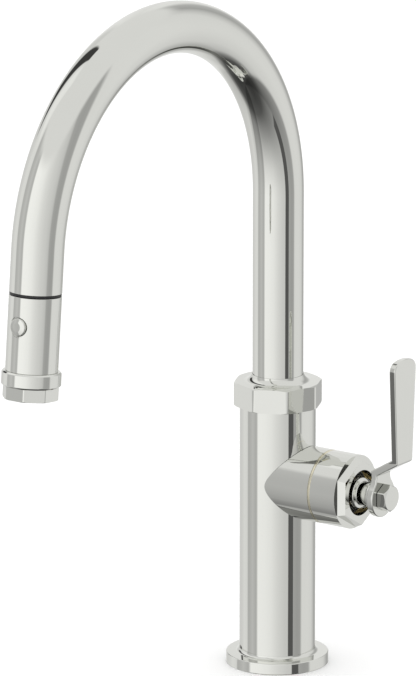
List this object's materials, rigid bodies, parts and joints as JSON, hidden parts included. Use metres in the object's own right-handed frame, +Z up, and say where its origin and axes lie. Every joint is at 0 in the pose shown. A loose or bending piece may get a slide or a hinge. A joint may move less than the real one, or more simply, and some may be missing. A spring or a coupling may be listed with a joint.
{
  "type": "pull down kitchen faucet",
  "caption": "Tall gooseneck kitchen faucet on a round column, with a docked pull down spray head, a collar nut and a side lever.",
  "frame": {"origin": "centre of the base flange on the worktop plane, on the column's axis", "axes": "+Z up along the column, the spout reaches towards -Y, the lever stands off towards +X"},
  "size_m": [0.1212, 0.2881, 0.4706],
  "materials": {
    "polished_nickel": "polished nickel plate",
    "brass": "machined",
    "steel": "drawn stainless",
    "black_plastic": "moulded",
    "white_plastic": "moulded acetal",
    "rubber": "moulded",
    "ceramic": "lapped alumina",
    "hose_braid": "nylon braid over a rubber hose"
  },
  "bodies": {
    "base": {"base_flange": "polished_nickel", "deck_gasket": "rubber", "column_shell": "polished_nickel", "threaded_shank": "brass", "fixing_rubber_washer": "rubber", "fixing_steel_washer": "steel", "fixing_nut": "brass", "valve_body": "brass", "outlet_pipe": "steel", "hot_supply_pipe": "steel", "cold_supply_pipe": "steel", "cartridge_seal": "rubber", "cartridge_housing": "white_plastic", "fixed_ceramic_disc": "ceramic", "cartridge_ring": "brass", "valve_stub": "polished_nickel", "trim_ring": "brass", "valve_cap": "polished_nickel", "spout_socket": "brass", "collar_nut": "polished_nickel"},
    "spout": {"spout_tube": "polished_nickel", "spray_hose": "hose_braid", "dock_insert": "black_plastic", "lower_bush": "white_plastic", "upper_bush": "white_plastic", "spout_o_ring_1": "rubber", "spout_o_ring_2": "rubber"},
    "hose_end": {"hose_stub": "hose_braid", "hose_ferrule": "steel", "ball_fitting": "brass"},
    "spray_head": {"head_shell": "polished_nickel", "button_bezel": "polished_nickel", "swivel_socket": "black_plastic", "head_core": "white_plastic", "check_valve": "black_plastic", "head_ring": "polished_nickel", "outlet_nut": "polished_nickel", "spray_plate": "rubber", "aerator": "white_plastic", "button_spring": "steel"},
    "button": {"spray_button": "polished_nickel"},
    "rotor": {"cartridge_rotor": "white_plastic", "moving_ceramic_disc": "ceramic", "stem_pin": "steel"},
    "handle": {"stem": "steel", "handle_neck": "polished_nickel", "lever": "polished_nickel", "handle_bolt": "polished_nickel"}
  },
  "joints": [
    {"name": "spout_swivel", "type": "hinge", "parent": "base", "child": "spout", "pos_m": [0, 0, 0.17], "axis": [0, 0, 1], "continuous": true},
    {"name": "hose_pull", "type": "slide", "parent": "spout", "child": "hose_end", "axis": [0, -0.0922, -0.9957], "range_m": [0, 0.15]},
    {"name": "head_swivel", "type": "hinge", "parent": "hose_end", "child": "spray_head", "pos_m": [0, -0.23597, 0.2729], "axis": [0, -0.0922, -0.9957], "continuous": true},
    {"name": "button_press", "type": "slide", "parent": "spray_head", "child": "button", "axis": [0, 0.9957, -0.0922], "range_m": [0, 0.0015], "stiffness_N_per_m": 1200},
    {"name": "temperature", "type": "hinge", "parent": "base", "child": "rotor", "pos_m": [0.046, 0, 0.1132], "axis": [1, 0, 0], "range_deg": [-45, 45]},
    {"name": "flow", "type": "hinge", "parent": "rotor", "child": "handle", "pos_m": [0.046, 0, 0.1132], "axis": [0, 1, 0], "range_deg": [0, 13]}
  ]
}
